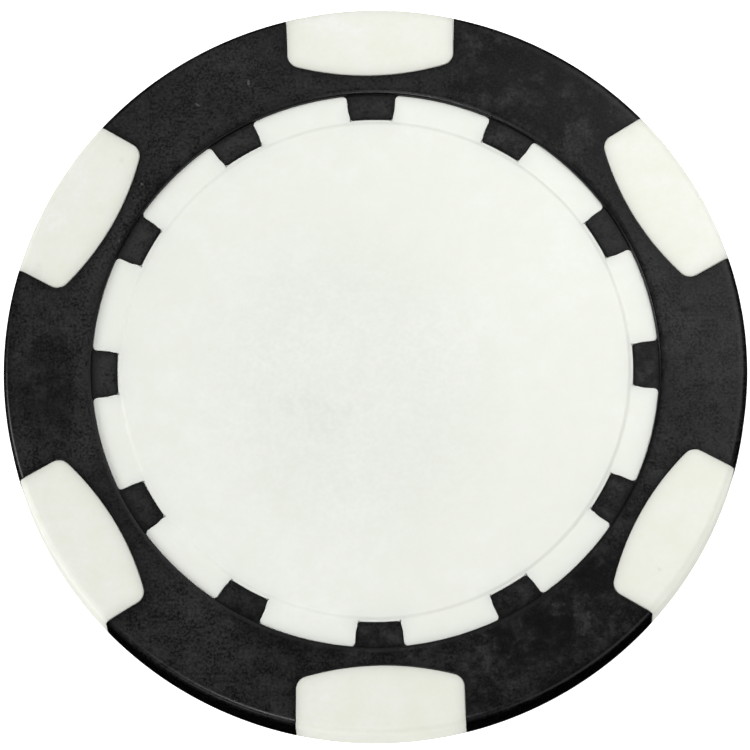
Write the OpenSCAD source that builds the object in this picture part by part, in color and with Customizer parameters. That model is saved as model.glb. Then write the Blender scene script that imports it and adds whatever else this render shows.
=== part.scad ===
// Dealer button: a flat two-colour disc of the poker-chip pattern.
// It lies on its back face. Z = 0 is the plane that it rests on, the Z axis is its centre line,
// and the middle of edge spot 1 points along +Y. Front and back are the same. Millimetres.

/* [Button] */
// Diameter over the rim
button_d = 50; // [48:0.5:56]
// Thickness over the edge spots
button_t = 4; // [3.6:0.1:6]
// Radius of the rounded rim edges
rim_round = 0.45; // [0.1:0.05:0.6]

/* [Recess and pad] */
// Diameter of the recess in each face
recess_d = 38.16; // [37.4:0.02:38.8]
// Depth of the recess below the black face of the ring
recess_depth = 0.34; // [0.2:0.01:0.5]
// Radius of the rounded edge between the ring's face and the recess wall
recess_round = 0.16; // [0.02:0.01:0.19]
// Diameter of the raised pad, to the middle of its sloped edge
pad_d = 34.2; // [33:0.1:34.3]
// Width of the pad's sloped edge
pad_slope = 0.32; // [0.1:0.02:0.34]
// Height of the pad above the recess floor
pad_rise = 0.12; // [0.04:0.01:0.2]

/* [Teeth] */
// Teeth round each recess
tooth_count = 12; // [6:6:18]
// Angle between a tooth's two sides, in degrees
tooth_angle = 9.9; // [6:0.1:12]
// Distance from the centre line to a tooth's inner end
tooth_inner_r = 17.34; // [17.3:0.01:17.8]
// Radius of the fillets at a tooth's root
tooth_fillet = 0.3; // [0.1:0.05:0.4]

/* [Edge spots] */
// Edge spots round the rim
spot_count = 6; // [4:1:8]
// Width of a spot, half-way between its inner edge and the rim
spot_width = 11.3; // [8:0.1:12]
// Distance from the centre line to the middle of a spot's inner edge
spot_inner_r = 20.34; // [20.2:0.02:20.8]
// Radius of the curved inner edge of a spot
spot_nose_r = 18.8; // [14:0.2:24]
// Radius of a spot's two inner corners
spot_corner_r = 0.9; // [0.4:0.05:1.4]
// How far each side of a spot leans out towards the rim, in degrees
spot_flare = 1.2; // [0:0.1:3]
// Height of a spot above the black face of the ring
spot_rise = 0.06; // [0.02:0.01:0.1]

/* [Inside] */
// Thickness of the ring's inner flange, and of the waist lip of a spot
flange_t = 1.2; // [0.8:0.1:1.4]
// Distance from the centre line to the flange's inner edge
flange_inner_r = 16.2; // [15.6:0.1:16.6]
// How far the waist lip stands out of a spot's sides and inner edge
lip_reach = 0.6; // [0.3:0.1:0.8]
// How far the waist lip stays inside the rim
lip_setback = 1.2; // [0.8:0.1:2]
// Diameter of the steel slug
slug_d = 30; // [24:0.5:30.4]
// Thickness of the steel slug
slug_t = 1.5; // [0.8:0.1:1.6]
// Diameter of the hole in the middle of the slug, and of the boss that fills it
boss_d = 6; // [3:0.5:12]

/* [Hidden] */

$fn = 128;
CORNER_STEPS = 8;   // straight steps round a corner of a spot
NOSE_STEPS = 24;    // straight steps in a spot's long inner edge
ROOT_STEPS = 4;     // straight steps in the fillet at a tooth's root
ROOT_EXIT = 25;     // how far before its tangent point that fillet is left, in degrees
CUT = 1;            // how far a cutter runs past the surface that it cuts

button_r = button_d / 2;
recess_r = recess_d / 2;
pad_r = pad_d / 2;
middle_z = button_t / 2;
face_z = button_t - spot_rise;
floor_z = face_z - recess_depth;
pad_z = floor_z + pad_rise;
flange_z = middle_z + flange_t / 2;
slug_z = middle_z + slug_t / 2;

// Points on an arc about centre, from angle a0 to a1
function arc(centre, r, a0, a1, steps) =
    [for (i = [0:steps]) let (a = a0 + (a1 - a0) * i / steps) centre + r * [cos(a), sin(a)]];

// The points with X turned round, in reverse order, to close an outline that is symmetric about Y
function mirrored(points) =
    [for (i = [len(points) - 1:-1:0]) [-points[i][0], points[i][1]]];

// Half the outline of a spot that points along +Y: up the nose arc, round the corner and out along the
// side, past the rim. grow widens it evenly, for the waist lip.
// The corner's centre lies nose_in from the nose's centre, and spot_corner_r inside the side's line.
function spot_half(grow) =
    let (
        nose_r = spot_nose_r + grow,
        corner_r = spot_corner_r + grow,
        nose_y = spot_inner_r + spot_nose_r,
        side_mid = [spot_width / 2, (spot_inner_r + button_r) / 2],
        normal = [cos(spot_flare), -sin(spot_flare)],
        along = [sin(spot_flare), cos(spot_flare)],
        nose_in = spot_nose_r - spot_corner_r,
        foot = side_mid - spot_corner_r * normal,
        to_foot = foot - [0, nose_y],
        b = to_foot * along,
        step = -b - sqrt(b * b - to_foot * to_foot + nose_in * nose_in),
        corner = foot + step * along,
        turn = atan2(corner[1] - nose_y, corner[0]),
        rim_end = side_mid + grow * normal + button_r * along
    )
    concat(
        arc([0, nose_y], nose_r, -90, turn, NOSE_STEPS / 2),
        arc(corner, corner_r, turn, -spot_flare, CORNER_STEPS),
        [rim_end]
    );

// Half the outline of a tooth that points along +Y, from inside its inner end, up one side and round the
// root fillet. The fillet is tangent to the side. It is left along a straight line ROOT_EXIT degrees
// before it would turn tangent to the recess wall, so that the outline crosses the wall cleanly.
function tooth_half() =
    let (
        side = 90 - tooth_angle / 2,
        centre_r = recess_r - tooth_fillet,
        spread = asin(tooth_fillet / centre_r),
        centre = centre_r * [cos(side - spread), sin(side - spread)],
        last = side - spread + ROOT_EXIT,
        fillet = arc(centre, tooth_fillet, side + 90, last, ROOT_STEPS),
        way_out = [sin(last), -cos(last)]
    )
    concat(
        [(tooth_inner_r - CUT) * [cos(side), sin(side)]],
        fillet,
        [fillet[ROOT_STEPS] + CUT * way_out]
    );

module spot_outline(grow = 0) {
    half = spot_half(grow);
    polygon(concat(mirrored(half), half));
}

module tooth_outline() {
    half = tooth_half();
    difference() {
        polygon(concat(mirrored(half), half));
        circle(r = tooth_inner_r);
    }
}

// Its children, and the same again for the back
module on_both_faces() {
    children();
    translate([0, 0, button_t])
        mirror([0, 0, 1])
            children();
}

module around(count) {
    for (i = [0:count - 1])
        rotate(360 / count * i)
            children();
}

// Half-section of a flat disc from low to high with a rounded rim
module disc_section(low, high) {
    translate([0, low + rim_round])
        square([button_r, high - low - 2 * rim_round]);
    translate([0, low])
        square([button_r - rim_round, high - low]);
    for (z = [low + rim_round, high - rim_round])
        translate([button_r - rim_round, z])
            circle(r = rim_round);
}

// Half-section of what the recess takes out of the front of the ring, with the rounded edge
module recess_section() {
    translate([0, floor_z])
        square([recess_r, recess_depth + CUT]);
    difference() {
        translate([0, face_z - recess_round])
            square([recess_r + recess_round, recess_round + CUT]);
        translate([recess_r + recess_round, face_z - recess_round])
            circle(r = recess_round);
    }
}

// A spot before its rim is rounded: straight walls right through, and the waist lip. It is the shape of
// the pocket in the ring too.
module spot_body() {
    translate([0, 0, -CUT])
        linear_extrude(button_t + 2 * CUT)
            spot_outline();
    translate([0, 0, middle_z - flange_t / 2])
        linear_extrude(flange_t)
            intersection() {
                spot_outline(lip_reach);
                circle(r = button_r - lip_setback);
            }
}

// The room between the teeth, from the flange up to the recess floor
module between_teeth() {
    translate([0, 0, flange_z])
        linear_extrude(floor_z - flange_z)
            difference() {
                circle(r = recess_r);
                around(tooth_count)
                    tooth_outline();
            }
}

// One ring with its teeth: what the recesses, the face discs and the spots leave of a rounded disc
module outer_ring() {
    color("#232322")
        difference() {
            rotate_extrude()
                disc_section(spot_rise, face_z);
            on_both_faces() {
                rotate_extrude()
                    recess_section();
                between_teeth();
            }
            cylinder(r = flange_inner_r, h = button_t);
            around(spot_count)
                spot_body();
        }
}

module edge_spot(index) {
    color("#f1f1e9")
        rotate(360 / spot_count * (1 - index))
            intersection() {
                spot_body();
                rotate_extrude()
                    disc_section(0, button_t);
            }
}

// A face disc: the pad, its slope, the recess floor, the edge over the flange, and half of the hub and of
// the boss. Hub and boss meet those of the other disc at mid-thickness.
module face_disc() {
    difference() {
        rotate_extrude()
            polygon([
                [0, pad_z],
                [pad_r - pad_slope / 2, pad_z],
                [pad_r + pad_slope / 2, floor_z],
                [recess_r, floor_z],
                [recess_r, flange_z],
                [flange_inner_r, flange_z],
                [flange_inner_r, middle_z],
                [slug_d / 2, middle_z],
                [slug_d / 2, slug_z],
                [boss_d / 2, slug_z],
                [boss_d / 2, middle_z],
                [0, middle_z]
            ]);
        around(tooth_count)
            translate([0, 0, flange_z - CUT])
                linear_extrude(button_t)
                    tooth_outline();
    }
}

module front_face() {
    color("#f0f2ec")
        face_disc();
}

module back_face() {
    color("#f0f2ec")
        translate([0, 0, button_t])
            mirror([0, 0, 1])
                face_disc();
}

module weight_slug() {
    color("#8c8f92")
        translate([0, 0, middle_z - slug_t / 2])
            difference() {
                cylinder(d = slug_d, h = slug_t);
                translate([0, 0, -CUT])
                    cylinder(d = boss_d, h = slug_t + 2 * CUT);
            }
}

outer_ring();
for (i = [1:spot_count])
    edge_spot(i);
front_face();
back_face();
weight_slug();
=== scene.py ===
"""The looks of the dealer button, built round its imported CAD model.

Metres, in the CAD's frame: the button lies on Z = 0 with its centre line on Z, and edge spot 1 points
along +Y. Plan angles are in radians, clockwise from +Y as seen from the front. The button repeats every
sector, which holds one spot and the gap beside it, so every outline is written for half a sector, from
the middle of a spot to half-way to the next one, and is then mirrored and turned round the button.
"""
import math

import bmesh
import bpy
import numpy as np
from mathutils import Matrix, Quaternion, Vector


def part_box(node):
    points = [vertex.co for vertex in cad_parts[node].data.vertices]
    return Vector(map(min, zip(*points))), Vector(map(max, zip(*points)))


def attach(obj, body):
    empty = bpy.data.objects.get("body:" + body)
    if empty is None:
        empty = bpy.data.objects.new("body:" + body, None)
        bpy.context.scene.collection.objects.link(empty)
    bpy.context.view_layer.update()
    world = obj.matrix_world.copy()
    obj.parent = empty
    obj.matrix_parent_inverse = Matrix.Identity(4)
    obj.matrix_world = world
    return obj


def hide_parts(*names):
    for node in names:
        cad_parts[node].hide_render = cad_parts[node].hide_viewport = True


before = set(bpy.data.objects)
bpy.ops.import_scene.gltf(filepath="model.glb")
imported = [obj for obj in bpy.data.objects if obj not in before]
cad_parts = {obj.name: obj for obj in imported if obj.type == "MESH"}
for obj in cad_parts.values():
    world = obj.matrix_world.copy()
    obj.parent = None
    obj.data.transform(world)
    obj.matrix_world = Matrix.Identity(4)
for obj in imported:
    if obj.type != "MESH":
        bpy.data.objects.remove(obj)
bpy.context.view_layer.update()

# ------------------------------------------------------------------ sizes, measured on the CAD nodes

TINY = 1e-6       # CAD vertices nearer than this to a height or a radius lie on it
WELD = 2e-8       # mesh points nearer than this are one point
SHARP = math.radians(35)   # edges that turn by more than this are shaded as creases


def plan_radius(points):
    return np.hypot(points[..., 0], points[..., 1])


def cad_points(node):
    return np.array([vertex.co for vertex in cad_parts[node].data.vertices])


def points_at(node, height):
    """The CAD vertices at this height"""
    points = cad_points(node)
    return points[np.abs(points[:, 2] - height) < TINY]


def heights_at(node, radius):
    """The heights of the CAD vertices at this distance from the centre line"""
    points = cad_points(node)
    return points[np.abs(plan_radius(points) - radius) < TINY, 2]


SPOTS = sum(name.startswith("edge_spot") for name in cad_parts)
SECTOR_HALF = math.pi / SPOTS     # there is a tooth at each end of it

TOP_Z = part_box("edge_spot_1")[1].z
FACE_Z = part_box("outer_ring")[1].z
PAD_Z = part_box("front_face")[1].z
SLUG_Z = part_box("weight_slug")[1].z
MIDDLE_Z = TOP_Z / 2

RIM_R = plan_radius(cad_points("outer_ring")).max()
FLANGE_R = plan_radius(cad_points("outer_ring")).min()
RECESS_R = plan_radius(cad_points("front_face")).max()
SLUG_R = plan_radius(cad_points("weight_slug")).max()
BOSS_R = plan_radius(cad_points("weight_slug")).min()
FLOOR_Z = heights_at("front_face", RECESS_R).max()
FLANGE_Z = heights_at("front_face", RECESS_R).min()
PAD_TOP_R = plan_radius(points_at("front_face", PAD_Z)).max()
PAD_FOOT_R = plan_radius(points_at("front_face", FLOOR_Z)).min()
TOOTH_R = plan_radius(points_at("outer_ring", FLOOR_Z)).min()
SPOT_INNER_R = plan_radius(points_at("edge_spot_1", TOP_Z)).min()
RIM_ROUND = RIM_R - plan_radius(points_at("outer_ring", FACE_Z)).max()
RECESS_ROUND = plan_radius(points_at("outer_ring", FACE_Z)).min() - RECESS_R

# Shapes of the outlines, in proportion to the rim
TOOTH_HALF = math.radians(4.95)
TOOTH_FILLET = 0.012 * RIM_R
SPOT_WIDTH = 0.452 * RIM_R
SPOT_NOSE_R = 0.752 * RIM_R
SPOT_CORNER_R = 0.036 * RIM_R
SPOT_FLARE = math.radians(1.2)
LIP_REACH = 0.024 * RIM_R
LIP_END_R = 0.952 * RIM_R

# Details finer than the CAD
SEAM_GAP = 0.0006 * RIM_R         # between the black moulding and each white piece
POCKET_ROUND = 0.0024 * RIM_R     # edge of a spot's pocket in the ring
SPOT_ROUND = 0.0040 * RIM_R       # edge of a spot along its seam
SPOT_CROWN = 0.0010 * RIM_R       # how far a spot's face falls towards its seam
CROWN_REACH = 0.05 * RIM_R        # how far from the seam that fall begins
SHOULDER_FALL = 0.0015 * RIM_R    # how far the ring's face falls towards the recess
SHOULDER_REACH = 0.010 * RIM_R    # how far from the rounded edge of the recess that fall begins
TOOTH_ROUND = 0.0020 * RIM_R      # top edge of a tooth
DISC_ROUND = 0.0018 * RIM_R       # top edge of a face disc along its seam

# ------------------------------------------------------------------ outlines in plan
# Steps in each stretch of an outline. Every outline has the same stretches, so that step for step they
# can be joined into one mesh.
TOOTH_END = 6
TOOTH_SIDE = 6
TOOTH_ROOT = 5
TOOTH = TOOTH_END + TOOTH_SIDE + TOOTH_ROOT
NOSE = 16
CORNER = 12
FLANK = 8
RIM = 14
ROLL_STEPS = 5
TOOTH_END_SHARE = 0.8             # share of a tooth's half angle that the steps of its end take
PAST_NOSE = (0.04, 0.09, 0.11)    # where corner, flank and roll end past the nose, on a circle, in radians
ROLL = np.sin(np.linspace(0, math.pi / 2, ROLL_STEPS + 1))   # shares of the way out over a rounded edge


def toward(angle):
    """Unit vectors at these plan angles"""
    return np.stack([np.sin(angle), np.cos(angle)], axis=-1)


def arc(centre, radius, start, end, steps):
    return np.asarray(centre) + radius * toward(np.linspace(start, end, steps + 1))


def turn_arc(radius, start, end, steps):
    """An arc about the centre line"""
    return arc((0, 0), radius, start, end, steps)


def line(start, end, steps):
    return start + (end - start) * np.linspace(0, 1, steps + 1)[:, None]


def joined(*stretches):
    """One outline of stretches that each start where the one before ends"""
    return np.vstack([stretches[0]] + [stretch[1:] for stretch in stretches[1:]])


def at_far_end(outline):
    """The outline mirrored to the other end of the half sector, in reverse order"""
    s, c = math.sin(SECTOR_HALF), math.cos(SECTOR_HALF)
    return outline[::-1] @ np.array([[-c, s], [s, c]])


def shifted(outline, distance):
    """The outline moved sideways, which is outwards where it runs clockwise about the centre line"""
    run = np.diff(outline, axis=0)
    side = np.column_stack([-run[:, 1], run[:, 0]]) / np.linalg.norm(run, axis=1)[:, None]
    before, after = side[:-1], side[1:]
    mitre = (before + after) / (1 + (before * after).sum(axis=1))[:, None]
    return outline + distance * np.vstack([toward(0), mitre, toward(SECTOR_HALF)])


def distance(points, outline):
    """How far each point is from an outline"""
    flat = points.reshape(-1, 2)
    start, run = outline[:-1], np.diff(outline, axis=0)
    start, run = start[(run != 0).any(axis=1)], run[(run != 0).any(axis=1)]
    away = flat[:, None] - start
    share = np.clip((away * run).sum(axis=-1) / (run ** 2).sum(axis=-1), 0, 1)
    nearest = np.linalg.norm(away - share[..., None] * run, axis=-1).min(axis=1)
    return nearest.reshape(points.shape[:-1])


def along_recess(radius, tooth):
    """Half a sector of a circle about the centre line, with this outline at the tooth at each end"""
    root = math.asin(TOOTH_FILLET / (RECESS_R - TOOTH_FILLET)) + TOOTH_HALF
    nose = math.asin((SPOT_WIDTH / 2 - SPOT_CORNER_R) / SPOT_INNER_R)
    stops = [root, nose, *(nose + past for past in PAST_NOSE), SECTOR_HALF - root]
    steps = [NOSE, CORNER, FLANK, 2 * ROLL_STEPS, RIM]
    wall = [turn_arc(radius, stops[i], stops[i + 1], steps[i]) for i in range(len(steps))]
    return joined(tooth, *wall, at_far_end(tooth))


def seam_half():
    """The seam between the ring and a face disc: half a tooth, the wall of the recess, half a tooth"""
    centre_r = RECESS_R - TOOTH_FILLET
    root = TOOTH_HALF + math.asin(TOOTH_FILLET / centre_r)
    fillet = arc(centre_r * toward(root), TOOTH_FILLET, TOOTH_HALF - math.pi / 2, root, TOOTH_ROOT)
    tooth = joined(
        turn_arc(TOOTH_R, 0, TOOTH_HALF, TOOTH_END),
        line(TOOTH_R * toward(TOOTH_HALF), fillet[0], TOOTH_SIDE),
        fillet,
    )
    return along_recess(RECESS_R, tooth)


def circle_half(radius):
    """A circle about the centre line, in step with the seam"""
    root = TOOTH_HALF + math.asin(TOOTH_FILLET / (RECESS_R - TOOTH_FILLET))
    tooth = joined(
        turn_arc(radius, 0, TOOTH_END_SHARE * TOOTH_HALF, TOOTH_END),
        turn_arc(radius, TOOTH_END_SHARE * TOOTH_HALF, TOOTH_HALF, TOOTH_SIDE),
        turn_arc(radius, TOOTH_HALF, root, TOOTH_ROOT),
    )
    return along_recess(radius, tooth)


def side_point(offset, radius):
    """Where the side of a spot, moved outwards by offset, meets a circle about the centre line"""
    start = np.array([SPOT_WIDTH / 2, (SPOT_INNER_R + RIM_R) / 2])
    start = start + offset * toward(math.pi / 2 + SPOT_FLARE)
    back = start @ toward(SPOT_FLARE)
    step = math.sqrt(back ** 2 - start @ start + radius ** 2) - back
    return start + step * toward(SPOT_FLARE)


def spot_half(offset, reach, rim_end, edge=None):
    """A spot's outline, moved outwards by offset: nose, corner and side, then the rim to angle rim_end.

    Without edge it is where the flat face ends, and the steps round the end of the side are one point.
    With edge, the width of the rounded edge along the side, it is where the vertical wall begins.
    """
    nose_centre = np.array([0, SPOT_INNER_R + SPOT_NOSE_R])
    normal, along = toward(math.pi / 2 + SPOT_FLARE), toward(SPOT_FLARE)
    foot = np.array([SPOT_WIDTH / 2, (SPOT_INNER_R + RIM_R) / 2]) - SPOT_CORNER_R * normal - nose_centre
    back = foot @ along
    step = -back - math.sqrt(back ** 2 - foot @ foot + (SPOT_NOSE_R - SPOT_CORNER_R) ** 2)
    corner = foot + step * along
    turn = math.atan2(corner[0], corner[1])
    nose = arc(nose_centre, SPOT_NOSE_R + offset, math.pi, turn, TOOTH + NOSE)
    bend = arc(nose_centre + corner, SPOT_CORNER_R + offset, turn, math.pi / 2 + SPOT_FLARE, CORNER)
    last = side_point(offset, reach)
    rim_start = math.atan2(last[0], last[1])
    if edge is None:
        side = line(bend[-1], last, FLANK)
        end = np.repeat([last], 2 * ROLL_STEPS + 1, axis=0)
    else:
        shoulder = side_point(offset, reach - RIM_ROUND)
        side = line(bend[-1], shoulder, FLANK)
        past = rim_start + math.copysign(edge / RIM_R, rim_end - rim_start)
        over = shoulder + (last - shoulder) * ROLL[:, None]
        end = joined(over, turn_arc(reach, rim_start, past, ROLL_STEPS))
        rim_start = past
    return joined(nose, bend, side, end, turn_arc(reach, rim_start, rim_end, RIM + TOOTH))


SIDE_END = TOOTH + NOSE + CORNER + FLANK + ROLL_STEPS + 1   # points of spot_half up to the end of its side


# ------------------------------------------------------------------ heights and meshes
# A piece is a grid: a column for each step of the outlines, and a row for each outline. Each point has
# x, y, z and the distance in plan from the nearest edge, which the materials use.

# Where the rows lie across each stretch of a face, as shares of the way over it
TOOTH_SHARES = (0.1, 0.25, 0.5, 0.75, 0.9, 1)
SHOULDER_SHARES = (0.2, 0.4, 0.6, 0.8, 1)
RING_SHARES = (0.08, 0.2, 0.35, 0.5, 0.65, 0.8, 0.9, 0.96)
SPOT_SHARES = (0, 0.25, 0.45, 0.6, 0.72, 0.81, 0.88, 0.93, 0.97)
PAD_SHARES = (0, 0.2, 0.4, 0.6, 0.8, 0.93, 1)
SLOPE_SHARES = np.linspace(0, 1, 9)[1:]
FLOOR_SHARES = (0.15, 0.35, 0.55, 0.75, 0.9)


def rolled(radius, inset):
    """How far an edge rounded to this radius lies below its face, at this distance in from its wall"""
    inside = radius - np.clip(inset, 0, radius)
    return radius - np.sqrt(radius ** 2 - inside ** 2)


def row(plan, height, edge_distance=0.0):
    count = len(plan)
    return np.column_stack([plan, np.broadcast_to(height, count), np.broadcast_to(edge_distance, count)])


def rows_between(inner, outer, shares, height, edge_distance):
    """Rows at shares of the way from one outline to another, on a face that height(plan) describes"""
    plans = [inner + (outer - inner) * share for share in shares]
    return [row(plan, height(plan), edge_distance(plan)) for plan in plans]


def rounded_rows(wall, top, height, radius):
    """Rows up over a rounded edge, from a wall to the start of the face above it"""
    return [row(wall + (top - wall) * (1 - math.cos(angle)), height - radius * (1 - math.sin(angle)))
            for angle in np.linspace(0, math.pi / 2, ROLL_STEPS + 1)]


def upside_down(rows):
    """The same rows on the other face, in reverse order"""
    return [np.column_stack([part[:, :2], TOP_Z - part[:, 2], part[:, 3]]) for part in reversed(rows)]


def mirrored(half):
    """The columns on the other side of the middle of the spot, in reverse order"""
    return half[::-1] * [-1, 1, 1, 1]


def turned(columns, angle):
    """The columns turned clockwise about the centre line"""
    x, y = columns[..., 0], columns[..., 1]
    result = columns.copy()
    result[..., 0] = x * math.cos(angle) + y * math.sin(angle)
    result[..., 1] = y * math.cos(angle) - x * math.sin(angle)
    return result


def all_round(half):
    """The columns of the whole button, from those of half a sector"""
    sector = np.concatenate([mirrored(half)[:-1], half[:-1]])
    return np.concatenate([turned(sector, 2 * SECTOR_HALF * i) for i in range(SPOTS)])


def build(name, node, columns, closed, material):
    """Makes a piece that replaces a CAD node. The columns go right round; closed: so do the rows."""
    flat = columns.reshape(-1, 4)
    places = np.round(flat[:, :3] / WELD)
    _, first, index = np.unique(places, axis=0, return_index=True, return_inverse=True)
    grid = index.reshape(columns.shape[:2])
    beside = np.roll(grid, -1, axis=0)
    if closed:
        quads = np.stack([grid, beside, np.roll(beside, -1, axis=1), np.roll(grid, -1, axis=1)], axis=-1)
    else:
        quads = np.stack([grid[:, :-1], beside[:, :-1], beside[:, 1:], grid[:, 1:]], axis=-1)
    faces = [list(dict.fromkeys(quad)) for quad in quads.reshape(-1, 4).tolist()]
    mesh = bpy.data.meshes.new(name)
    mesh.from_pydata(flat[first, :3].tolist(), [], [face for face in faces if len(face) > 2])
    shaped = bmesh.new()
    shaped.from_mesh(mesh)
    bmesh.ops.recalc_face_normals(shaped, faces=shaped.faces)
    shaped.to_mesh(mesh)
    shaped.free()
    mesh.shade_smooth()
    mesh.set_sharp_from_angle(angle=SHARP)
    from_edge = mesh.attributes.new("from_edge", "FLOAT", "POINT")
    from_edge.data.foreach_set("value", flat[first, 3].astype(np.float32))
    mesh.materials.append(material)
    piece = bpy.data.objects.new(name, mesh)
    bpy.context.scene.collection.objects.link(piece)
    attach(piece, "root")
    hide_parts(node)


def lip(outline, offset, reach, rim_end, edge):
    """The outline moved out to the spots' waist lip, but not where it is near the rim"""
    moved = spot_half(offset, reach, rim_end, edge)
    return np.where((plan_radius(outline) < LIP_END_R)[:, None], moved, outline)


def ring_half():
    seam = seam_half()
    on_wall = plan_radius(seam) > RECESS_R - WELD
    tooth_top = shifted(seam, TOOTH_ROUND)
    tooth_top *= (np.minimum(plan_radius(tooth_top), RECESS_R) / plan_radius(tooth_top))[:, None]
    tooth_top[on_wall] = seam[on_wall]
    foot = np.where(on_wall[:, None], seam, circle_half(RECESS_R))
    brow = foot * (1 + RECESS_ROUND / RECESS_R)
    shoulder = foot * (1 + (RECESS_ROUND + SHOULDER_REACH) / RECESS_R)
    wall = spot_half(0, RIM_R, SECTOR_HALF, POCKET_ROUND)
    edge = spot_half(POCKET_ROUND, RIM_R - RIM_ROUND, SECTOR_HALF)
    groove = lip(wall, LIP_REACH, RIM_R, SECTOR_HALF, POCKET_ROUND)
    pocket = wall[:SIDE_END]
    bore = circle_half(FLANGE_R)

    def height(plan):
        from_brow = plan_radius(plan) - RECESS_R - RECESS_ROUND
        fall = SHOULDER_FALL * (1 - np.clip(from_brow / SHOULDER_REACH, 0, 1)) ** 2
        rim_fall = rolled(RIM_ROUND, RIM_R - plan_radius(plan))
        return FACE_Z - fall - rim_fall - rolled(POCKET_ROUND, distance(plan, pocket))

    def edge_distance(plan):
        radius = plan_radius(plan)
        return np.minimum(distance(plan, pocket), np.minimum(RIM_R - radius, radius - RECESS_R)).clip(min=0)

    def tooth_distance(plan):
        return np.minimum(distance(plan, seam), RECESS_R - plan_radius(plan)).clip(min=0)

    rows = [row(bore, MIDDLE_Z), row(bore, FLANGE_Z), row(seam, FLANGE_Z)]
    rows += rounded_rows(seam, tooth_top, FLOOR_Z, TOOTH_ROUND)
    rows += rows_between(tooth_top, foot, TOOTH_SHARES, lambda plan: FLOOR_Z, tooth_distance)
    rows += rounded_rows(foot, brow, FACE_Z - SHOULDER_FALL, RECESS_ROUND)
    rows += rows_between(brow, shoulder, SHOULDER_SHARES, height, edge_distance)
    rows += rows_between(shoulder, edge, RING_SHARES, height, edge_distance)
    rows += rows_between(edge, wall, ROLL, height, edge_distance)
    rows += [row(wall, FLANGE_Z), row(groove, FLANGE_Z), row(groove, MIDDLE_Z)]
    return np.stack(rows + upside_down(rows[1:-1]), axis=1)


def spot_columns():
    wall = spot_half(-SEAM_GAP, RIM_R, 0, SPOT_ROUND)
    edge = spot_half(-SEAM_GAP - SPOT_ROUND, RIM_R - RIM_ROUND, 0)
    flange = lip(wall, LIP_REACH - SEAM_GAP, RIM_R, 0, SPOT_ROUND)
    seam = wall[:SIDE_END]
    both_sides = joined(seam[::-1] * [-1, 1], seam)
    middle = np.zeros_like(wall) + [0, (SPOT_INNER_R + RIM_R) / 2]

    def edge_distance(plan):
        return distance(plan, both_sides)

    def height(plan):
        from_seam = edge_distance(plan)
        crown = SPOT_CROWN * (1 - np.clip(from_seam / CROWN_REACH, 0, 1)) ** 2
        return TOP_Z - crown - rolled(SPOT_ROUND, from_seam) - rolled(RIM_ROUND, RIM_R - plan_radius(plan))

    rows = rows_between(middle, edge, SPOT_SHARES, height, edge_distance)
    rows += rows_between(edge, wall, ROLL, height, edge_distance)
    side_distance = edge_distance(wall)
    rows += [row(wall, FLANGE_Z, side_distance), row(flange, FLANGE_Z, side_distance)]
    rows += [row(flange, MIDDLE_Z, side_distance)]
    half = np.stack(rows + upside_down(rows[:-1]), axis=1)
    return np.concatenate([mirrored(half)[:-1], half[:-1]])


def disc_rows():
    seam = seam_half()
    wall = shifted(seam, -SEAM_GAP)
    edge = shifted(seam, -SEAM_GAP - DISC_ROUND)
    centre, pad_edge, pad_foot = circle_half(0), circle_half(PAD_TOP_R), circle_half(PAD_FOOT_R)
    slug, boss, bore = circle_half(SLUG_R), circle_half(BOSS_R), circle_half(FLANGE_R)

    def edge_distance(plan):
        return distance(plan, seam)

    def slope_height(plan):
        share = np.clip((plan_radius(plan) - PAD_TOP_R) / (PAD_FOOT_R - PAD_TOP_R), 0, 1)
        return PAD_Z + (FLOOR_Z - PAD_Z) * share ** 2 * (3 - 2 * share)

    def floor_height(plan):
        return FLOOR_Z - rolled(DISC_ROUND, distance(plan, wall))

    rows = rows_between(centre, pad_edge, PAD_SHARES, slope_height, edge_distance)
    rows += rows_between(pad_edge, pad_foot, SLOPE_SHARES, slope_height, edge_distance)
    rows += rows_between(pad_foot, edge, FLOOR_SHARES, floor_height, edge_distance)
    rows += rows_between(edge, wall, ROLL, floor_height, edge_distance)
    rows += [row(wall, FLANGE_Z), row(bore, FLANGE_Z), row(bore, MIDDLE_Z)]
    rows += [row(slug, MIDDLE_Z), row(slug, SLUG_Z), row(boss, SLUG_Z), row(boss, MIDDLE_Z)]
    rows += [row(centre, MIDDLE_Z)]
    return rows


# ------------------------------------------------------------------ materials


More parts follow.
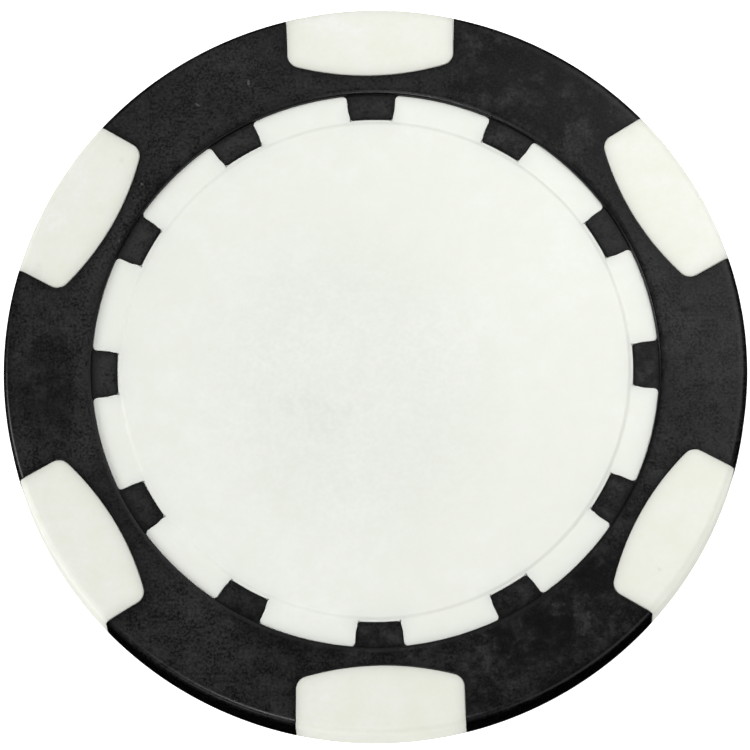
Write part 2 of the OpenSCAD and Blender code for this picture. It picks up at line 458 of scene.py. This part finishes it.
class Nodes:
    """A material's node tree, with short calls to add nodes and join them"""

    def __init__(self, name):
        self.material = bpy.data.materials.new(name)
        self.material.use_nodes = True
        self.tree = self.material.node_tree
        self.surface = self.tree.nodes["Principled BSDF"]
        self.place = self.add("ShaderNodeTexCoord").outputs["Object"]

    def add(self, kind, **sockets):
        """A new node. A name is a socket's, with _ for a space; a value is a number, colour or output."""
        node = self.tree.nodes.new(kind)
        for name, value in sockets.items():
            self.put(node, name.replace("_", " "), value)
        return node

    def put(self, node, name, value):
        socket = node.inputs[name]
        if isinstance(value, bpy.types.NodeSocket):
            self.tree.links.new(value, socket)
        else:
            socket.default_value = value

    def surface_put(self, **sockets):
        for name, value in sockets.items():
            self.put(self.surface, name.replace("_", " "), value)

    def noise(self, size, detail=3.0, roughness=0.5, stretch=(1, 1, 1)):
        """Noise from 0 to 1 whose features are about size across"""
        place = self.place
        if stretch != (1, 1, 1):
            place = self.add("ShaderNodeMapping", Vector=place, Scale=stretch).outputs["Vector"]
        noise = self.add("ShaderNodeTexNoise", Vector=place, Scale=1 / size, Detail=detail)
        noise.inputs["Roughness"].default_value = roughness
        return noise.outputs["Fac"]

    def ranged(self, value, low, high, to_low=0.0, to_high=1.0):
        """The value with the range from low to high spread over another, and clamped to it"""
        node = self.add("ShaderNodeMapRange", Value=value)
        node.inputs["From Min"].default_value = low
        node.inputs["From Max"].default_value = high
        node.inputs["To Min"].default_value = to_low
        node.inputs["To Max"].default_value = to_high
        return node.outputs["Result"]

    def mixed(self, share, first, second):
        """The first colour where share is 0 and the second where it is 1"""
        node = self.tree.nodes.new("ShaderNodeMix")
        node.data_type = "RGBA"
        for socket, value in (("Factor_Float", share), ("A_Color", first), ("B_Color", second)):
            target = next(item for item in node.inputs if item.identifier == socket)
            if isinstance(value, bpy.types.NodeSocket):
                self.tree.links.new(value, target)
            else:
                target.default_value = value
        return next(item for item in node.outputs if item.identifier == "Result_Color")

    def math(self, operation, *values):
        node = self.add("ShaderNodeMath")
        node.operation = operation
        for socket, value in zip(node.inputs, values):
            if isinstance(value, bpy.types.NodeSocket):
                self.tree.links.new(value, socket)
            else:
                socket.default_value = value
        return node.outputs[0]

    def times(self, first, second):
        return self.math("MULTIPLY", first, second)

    def plus(self, first, second):
        return self.math("ADD", first, second)

    def radius(self):
        """The distance from the centre line"""
        flat = self.add("ShaderNodeVectorMath", Vector=self.place)
        flat.operation = "MULTIPLY"
        flat.inputs[1].default_value = (1, 1, 0)
        length = self.add("ShaderNodeVectorMath", Vector=flat.outputs["Vector"])
        length.operation = "LENGTH"
        return length.outputs["Value"]

    def near_edge(self, reach):
        """1 at an edge of the piece, fading out over about this reach"""
        node = self.tree.nodes.new("ShaderNodeAttribute")
        node.attribute_name = "from_edge"
        return self.math("EXPONENT", self.times(node.outputs["Fac"], -1 / reach))

    def mark(self, angle, radius, length, width, turn=0.0, fade=0.3):
        """1 inside a small oval mark on the front and 0 outside it, from its plan angle and radius.

        Angles are in degrees. A turn of 0 lays the mark's length along the radius. The mark fades out over
        this share of its size on each side of its edge.
        """
        node = self.add("ShaderNodeMapping", Vector=self.place)
        node.vector_type = "TEXTURE"
        centre = radius * toward(math.radians(angle))
        node.inputs["Location"].default_value = (*centre, TOP_Z)
        node.inputs["Rotation"].default_value = (0, 0, -math.radians(angle + turn))
        node.inputs["Scale"].default_value = (width / 2, length / 2, MIDDLE_Z)
        size = self.add("ShaderNodeVectorMath", Vector=node.outputs["Vector"])
        size.operation = "LENGTH"
        return self.ranged(size.outputs["Value"], 1 - fade, 1 + fade, 1.0, 0.0)

    def bumpy(self, height, depth):
        bump = self.add("ShaderNodeBump", Height=height, Distance=depth, Strength=1.0)
        self.put(self.surface, "Normal", bump.outputs["Normal"])


def grey(value):
    return (value, value, value, 1.0)


# The black plastic, bare and under full haze: darkened by painted shade at its edges, walls and side, and on
# its faces
SHADED_EDGE_BLACK = grey(0.0006)
SHADED_EDGE_HAZED = grey(0.003)
FACE_BLACK = grey(0.0010)
FACE_HAZED = (0.0290, 0.0310, 0.0290, 1)
BARE_PLASTIC = grey(0.075)        # at the bottom of a nick
EDGE_SHADE_REACH = 0.012 * RIM_R        # how far in from an edge the black is darker

# Marks on the front only. Each starts with plan angle in degrees, radius, length and width in rim radii.
# Places where the ring is lighter or darker; the last number is how much of the haze is left there
RING_PATCHES = (
    (148, 0.86, 0.28, 0.62, 0.3),
    (136, 0.81, 0.10, 0.14, 0.3),
    (146, 0.85, 0.08, 0.14, 0.2),
    (155, 0.82, 0.12, 0.10, 0.2),
    (80, 0.85, 0.05, 0.02, 0.2),
    (268, 0.86, 0.14, 0.30, 0.5),
    (30, 0.89, 0.26, 0.50, 0.3),
    (93, 0.86, 0.24, 0.34, 1.15),
    (220, 0.78, 0.08, 0.18, 1.3),
    (190, 0.73, 0.12, 0.50, 0.4),
    (90, 0.73, 0.12, 0.20, 0.3),
    (120, 0.73, 0.12, 0.18, 0.5),
    (280, 0.73, 0.12, 0.70, 1.8),
)
# Nicks and flecks in the ring; the last number is how far the length is turned from the radius, in degrees
RING_NICKS = (
    (327.5, 0.880, 0.020, 0.005, -28),
    (337.5, 0.865, 0.018, 0.007, 22),
    (310, 0.811, 0.010, 0.007, 0),
    (298, 0.776, 0.010, 0.007, 60),
)
# Grimy specks on the spots; on the face discs, a broad faint darkening over the middle, off towards one
# side, then three small specks
SPOT_SPECKS = (
    (311, 0.896, 0.014, 0.013),
    (287, 0.950, 0.030, 0.050),
    (127, 0.940, 0.012, 0.010),
)
FACE_SPECKS = (
    (240, 0.08, 0.70, 0.80),
    (232, 0.20, 0.10, 0.16),
    (248, 0.26, 0.04, 0.06),
    (215, 0.14, 0.05, 0.03),
)


def ring_plastic():
    """Satin black plastic: fine grain under a cloudy haze, a few lighter and a few darker places, and
    painted shade darkening its edges, walls and side
    """
    nodes = Nodes("ring_plastic")
    grain = nodes.ranged(nodes.noise(0.0075 * RIM_R, detail=2.0, roughness=0.7), 0.37, 0.63)
    cloud = nodes.ranged(nodes.noise(0.045 * RIM_R, detail=5.0, roughness=0.7), 0.34, 0.66)
    patch = nodes.ranged(nodes.noise(0.22 * RIM_R, detail=2.0), 0.35, 0.65)
    haze = nodes.plus(nodes.times(grain, 0.75), nodes.times(cloud, 0.55))
    haze = nodes.times(nodes.plus(haze, -0.20), nodes.ranged(patch, 0, 1, 0.65, 1.15))
    haze = nodes.plus(haze, nodes.ranged(nodes.radius(), RECESS_R, RECESS_R + RECESS_ROUND, 0.22, 0.0))
    uneven = nodes.ranged(cloud, 0.1, 0.9, 2.0, 0.3)
    for angle, radius, length, width, left in RING_PATCHES:
        place = nodes.mark(angle, radius * RIM_R, length * RIM_R, width * RIM_R, fade=0.6)
        haze = nodes.times(haze, nodes.ranged(nodes.times(place, uneven), 0.1, 1, 1, left))
    colour = nodes.mixed(haze, FACE_BLACK, FACE_HAZED)
    for angle, radius, length, width, turn in RING_NICKS:
        nick = nodes.mark(angle, radius * RIM_R, length * RIM_R, width * RIM_R, turn)
        colour = nodes.mixed(nodes.ranged(nodes.times(nick, grain), 0, 0.6), colour, BARE_PLASTIC)
    # Painted shade: near every edge and over the walls and side, the black is mixed towards a darker black
    shaded_edge_colour = nodes.mixed(haze, SHADED_EDGE_BLACK, SHADED_EDGE_HAZED)
    colour = nodes.mixed(nodes.near_edge(EDGE_SHADE_REACH), colour, shaded_edge_colour)
    nodes.surface_put(
        Base_Color=colour,
        Roughness=nodes.ranged(cloud, 0, 1, 0.24, 0.32),
        Specular_IOR_Level=0.2,
    )
    nodes.bumpy(nodes.noise(0.010 * RIM_R, detail=4.0, roughness=0.6), 0.00012 * RIM_R)
    return nodes.material


def white_plastic(name, clean, shade, grime_and_seam_shade, seam_shade_reach, specks):
    """Satin white plastic, faintly mottled, with painted shade making it a little darker and warmer along
    its seams, and darker specks and marks
    """
    nodes = Nodes(name)
    grain = nodes.ranged(nodes.noise(0.012 * RIM_R, detail=2.0), 0.3, 0.7)
    cloud = nodes.ranged(nodes.noise(0.07 * RIM_R, detail=4.0, roughness=0.6), 0.35, 0.65)
    patch = nodes.ranged(nodes.noise(0.35 * RIM_R, detail=2.0), 0.35, 0.65)
    colour = nodes.mixed(nodes.times(patch, 0.45), clean, shade)
    colour = nodes.mixed(nodes.times(cloud, 0.50), colour, shade)
    colour = nodes.mixed(nodes.times(grain, 0.35), colour, shade)
    for angle, radius, length, width in specks:
        speck = nodes.mark(angle, radius * RIM_R, length * RIM_R, width * RIM_R)
        colour = nodes.mixed(nodes.times(speck, nodes.ranged(grain, 0, 1, 0.15, 0.4)), colour, grime_and_seam_shade)
    # Painted shade: darker and warmer along the seams, where the neighbouring pieces shade the white
    colour = nodes.mixed(nodes.near_edge(seam_shade_reach), colour, grime_and_seam_shade)
    nodes.surface_put(
        Base_Color=colour,
        Roughness=nodes.ranged(cloud, 0, 1, 0.40, 0.50),
        Specular_IOR_Level=0.4,
    )
    nodes.bumpy(nodes.noise(0.016 * RIM_R, detail=3.0), 0.00006 * RIM_R)
    return nodes.material


def slug_steel():
    """Stamped steel with fine rolling marks"""
    nodes = Nodes("slug_steel")
    grain = nodes.noise(0.01 * RIM_R, detail=4.0, stretch=(1, 0.04, 1))
    cloud = nodes.noise(0.3 * RIM_R)
    nodes.surface_put(
        Base_Color=nodes.mixed(nodes.ranged(cloud, 0.3, 0.7), (0.38, 0.39, 0.40, 1), (0.46, 0.47, 0.47, 1)),
        Roughness=nodes.ranged(grain, 0.2, 0.8, 0.28, 0.45),
        Metallic=1.0,
    )
    nodes.bumpy(grain, 0.0001 * RIM_R)
    return nodes.material


def floor_paper():
    nodes = Nodes("floor_paper")
    fibre = nodes.noise(0.02, detail=4.0)
    nodes.surface_put(
        Base_Color=nodes.mixed(fibre, grey(0.93), grey(0.96)),
        Roughness=0.9,
        Emission_Color=grey(1.0),
        Emission_Strength=0.9,
    )
    return nodes.material


# ------------------------------------------------------------------ the pieces

ring_material = ring_plastic()
spot_material = white_plastic(
    "spot_plastic",
    clean=(0.86, 0.87, 0.83, 1),
    shade=(0.77, 0.785, 0.67, 1),
    grime_and_seam_shade=(0.60, 0.60, 0.55, 1),
    seam_shade_reach=0.012 * RIM_R,
    specks=SPOT_SPECKS,
)
face_material = white_plastic(
    "face_plastic",
    clean=(0.86, 0.88, 0.83, 1),
    shade=(0.80, 0.82, 0.74, 1),
    grime_and_seam_shade=(0.72, 0.74, 0.70, 1),
    seam_shade_reach=0.018 * RIM_R,
    specks=FACE_SPECKS,
)

build("ring_moulding", "outer_ring", all_round(ring_half()), True, ring_material)

spot = spot_columns()
for number in range(1, SPOTS + 1):
    columns = turned(spot, 2 * SECTOR_HALF * (number - 1))
    build(f"spot_inlay_{number}", f"edge_spot_{number}", columns, False, spot_material)

front = disc_rows()
for name, node, rows in (
    ("front_disc", "front_face", front),
    ("back_disc", "back_face", upside_down(front)),
):
    build(name, node, all_round(np.stack(rows, axis=1)), False, face_material)

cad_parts["weight_slug"].data.materials.clear()
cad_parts["weight_slug"].data.materials.append(slug_steel())

# ------------------------------------------------------------------ floor, light and camera

FLOOR_GAP = 0.001 * RIM_R         # keeps the floor clear of the faces that the button rests on
CAMERA_AZIMUTH = -88.32
CAMERA_ELEVATION = 76.83
CAMERA_ROLL = math.radians(-2.63)
CAMERA_REACH = 23.84             # from the button to the camera, in rim radii


def direction(azimuth, elevation):
    """Unit vector towards this azimuth, in degrees anticlockwise from +X, and elevation above the floor"""
    a, e = math.radians(azimuth), math.radians(elevation)
    return Vector((math.cos(a) * math.cos(e), math.sin(a) * math.cos(e), math.sin(e)))


def make_floor():
    bpy.ops.mesh.primitive_grid_add(x_subdivisions=8, y_subdivisions=8, size=80 * RIM_R)
    floor = bpy.context.active_object
    floor.name = "floor"
    floor.location.z = -FLOOR_GAP
    floor.data.materials.append(floor_paper())
    floor.visible_glossy = False


def soft_light(name, azimuth, elevation, reach, size, power):
    """A round soft light that points at the button from this direction"""
    lamp = bpy.data.lights.new(name, "AREA")
    lamp.shape = "DISK"
    lamp.size = size
    lamp.energy = power
    light = bpy.data.objects.new(name, lamp)
    away = direction(azimuth, elevation)
    light.location = away * reach
    light.rotation_mode = "QUATERNION"
    light.rotation_quaternion = (-away).to_track_quat("-Z", "Y")
    bpy.context.scene.collection.objects.link(light)


def make_world(strength, dark_below=0.25, full_above=0.75):
    """Even light from above that fades out towards the horizon, between two sines of the elevation"""
    world = bpy.data.worlds.new("studio")
    world.use_nodes = True
    tree = world.node_tree
    place = tree.nodes.new("ShaderNodeTexCoord")
    split = tree.nodes.new("ShaderNodeSeparateXYZ")
    fade = tree.nodes.new("ShaderNodeMapRange")
    fade.inputs["From Min"].default_value = dark_below
    fade.inputs["From Max"].default_value = full_above
    fade.inputs["To Max"].default_value = strength
    tree.links.new(place.outputs["Generated"], split.inputs["Vector"])
    tree.links.new(split.outputs["Z"], fade.inputs["Value"])
    tree.links.new(fade.outputs["Result"], tree.nodes["Background"].inputs["Strength"])
    tree.nodes["Background"].inputs["Color"].default_value = grey(1.0)
    bpy.context.scene.world = world


def make_camera():
    """A long lens, almost straight above, leaning a little towards -Y"""
    lens = bpy.data.cameras.new("camera")
    lens.sensor_width = 36.0
    lens.lens = 426.0
    camera = bpy.data.objects.new("camera", lens)
    away = direction(CAMERA_AZIMUTH, CAMERA_ELEVATION)
    aim = Vector((-0.001 * RIM_R, -0.019 * RIM_R, FACE_Z))
    camera.location = aim + away * CAMERA_REACH * RIM_R
    camera.rotation_mode = "QUATERNION"
    roll = Quaternion((0, 0, 1), CAMERA_ROLL)
    camera.rotation_quaternion = (-away).to_track_quat("-Z", "Y") @ roll
    lens.clip_start = RIM_R
    lens.clip_end = 100 * RIM_R
    bpy.context.scene.collection.objects.link(camera)
    bpy.context.scene.camera = camera
    return camera


make_floor()
make_world(0.09)
# name, azimuth, elevation, reach and size in rim radii, power in watts
for name, azimuth, elevation, reach, size, power in (
    ("high", 250, 70, 20, 5, 0.73),
    ("left", 180, 28, 20, 8, 1.08),
    ("front", 240, 28, 20, 8, 0.26),
    ("right", 315, 25, 20, 16, 0.56),
    ("back_right", 45, 25, 20, 16, 0.25),
    ("back", 90, 45, 20, 24, 0.60),
    ("near", 35, 50, 4, 3, 0.030),
):
    soft_light(name, azimuth, elevation, reach * RIM_R, size * RIM_R, power)
make_camera()
bpy.context.scene.view_settings.view_transform = "Standard"
